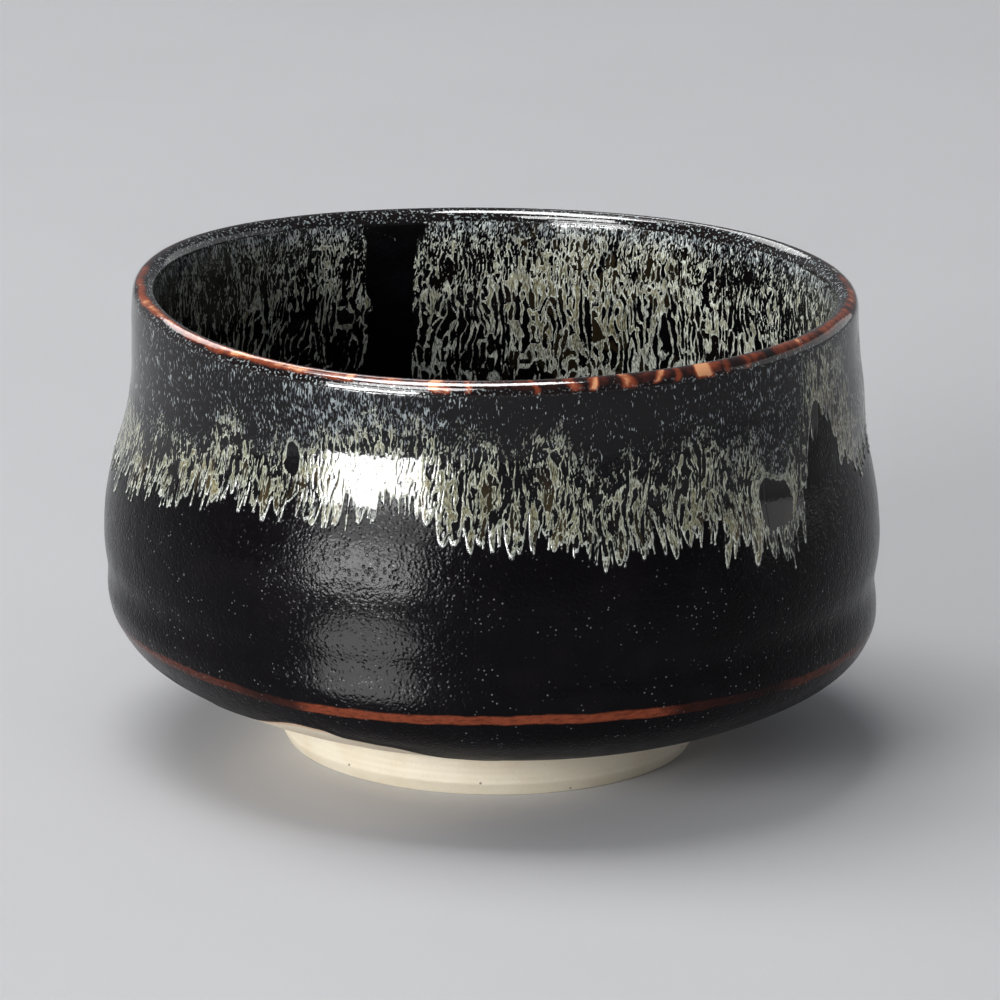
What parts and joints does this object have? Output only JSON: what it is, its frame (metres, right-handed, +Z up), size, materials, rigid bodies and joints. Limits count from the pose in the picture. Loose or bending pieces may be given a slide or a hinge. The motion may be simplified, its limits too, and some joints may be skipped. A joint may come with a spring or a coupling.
{
  "type": "tea bowl",
  "caption": "Matcha bowl: rounded stoneware body with a waisted neck on a bare foot ring, black glaze inside and out, pale glaze running from a rust-red lip.",
  "frame": {"origin": "centre of the foot, on the surface that the bowl stands on", "axes": "+Z up along the bowl's axis; the bowl is round, and -Y is the side taken as its front"},
  "size_m": [0.1254, 0.1254, 0.0749],
  "materials": {
    "clay": "matt unglazed stoneware",
    "bare_clay": "matt unglazed stoneware, turned",
    "black_glaze_outside": "glossy black iron glaze, rust brown where it breaks thin",
    "iron_glaze": "glossy rust red to black",
    "black_glaze_inside": "glossy black iron glaze",
    "running_glaze_outside": "glossy, pale green-grey strands running over black",
    "running_glaze_inside": "glossy, pale green-grey strands running over black"
  },
  "bodies": {
    "root": {"clay_body": "clay", "foot_ring": "bare_clay", "outer_black_glaze": "black_glaze_outside", "lip_iron_glaze": "iron_glaze", "inner_black_glaze": "black_glaze_inside", "running_glaze_outer": "running_glaze_outside", "running_glaze_inner": "running_glaze_inside"}
  },
  "joints": []
}
